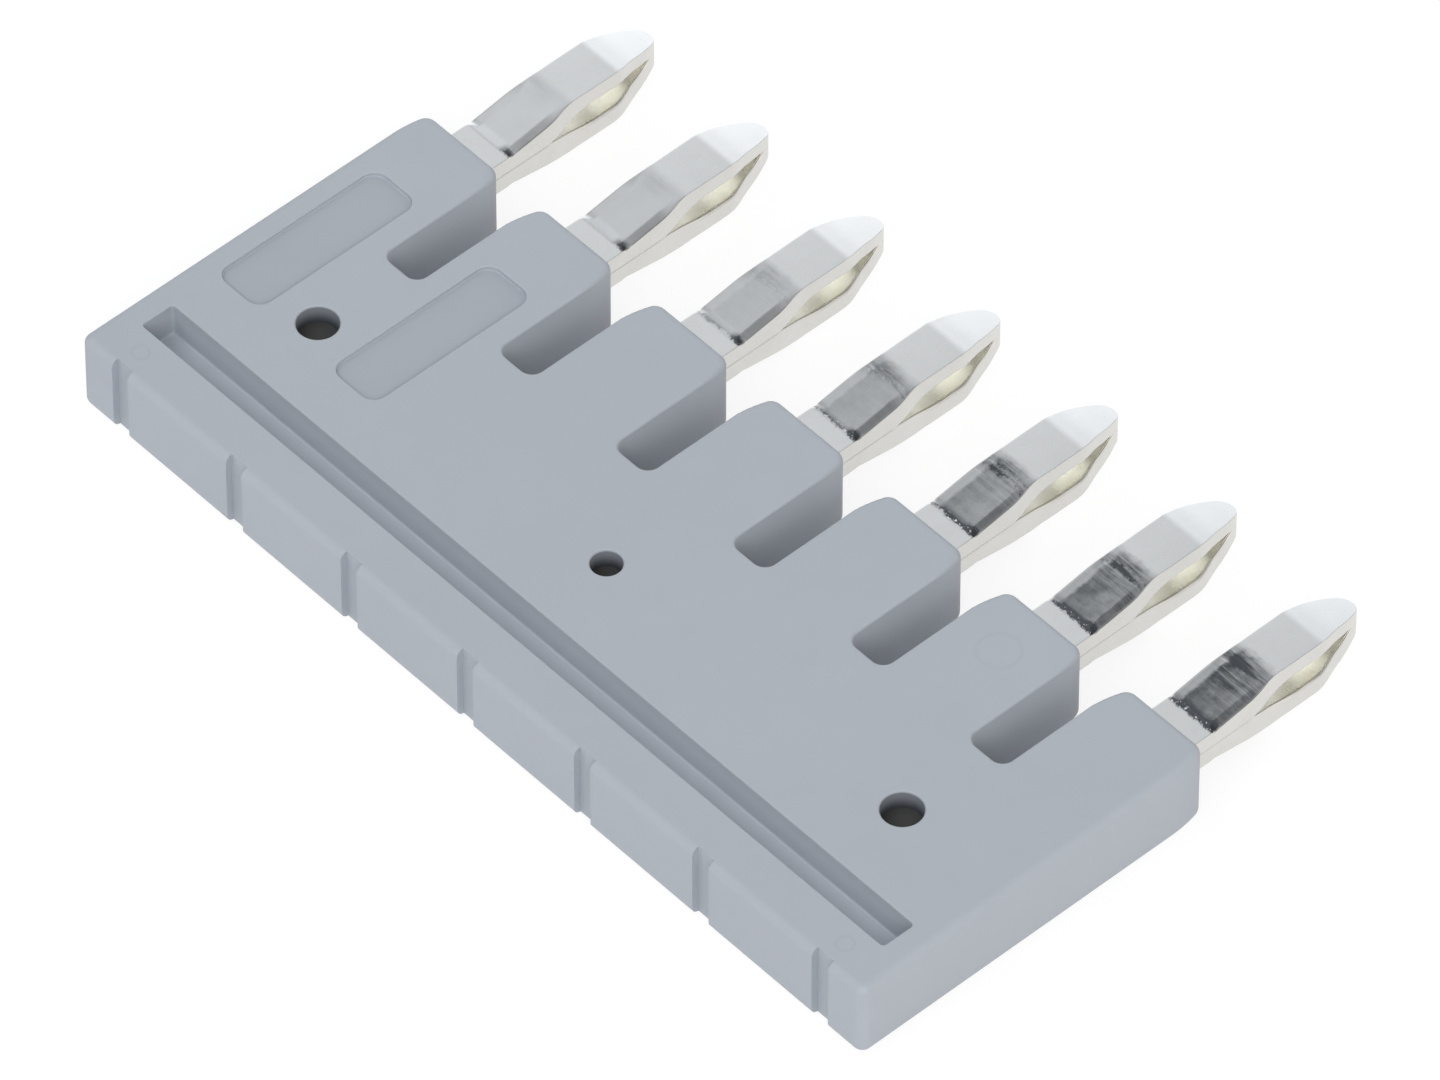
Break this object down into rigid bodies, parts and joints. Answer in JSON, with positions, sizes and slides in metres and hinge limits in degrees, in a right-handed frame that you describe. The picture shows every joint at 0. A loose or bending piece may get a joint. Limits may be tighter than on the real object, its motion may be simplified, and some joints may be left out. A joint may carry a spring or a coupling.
{
  "type": "terminal jumper",
  "caption": "Flat insulated comb jumper: a slotted moulded bar whose teeth each let out a bulged, split spring prong that plugs in to bridge neighbouring terminal blocks.",
  "frame": {"origin": "under the middle of the whole part, on the face that it rests on", "axes": "+X along the row of prongs, +Y from the back face to the prong tips, +Z out of the top face"},
  "size_m": [0.0416, 0.0256, 0.0035],
  "materials": {
    "grey_polyamide": "fine spark-eroded moulded surface, cool mid grey",
    "tinned_brass": "bright tin plating with burnished ramps and bare brass on the cut faces in the gap"
  },
  "bodies": {
    "root": {"housing": "grey_polyamide", "upper_comb": "tinned_brass", "lower_comb": "tinned_brass"}
  },
  "joints": []
}
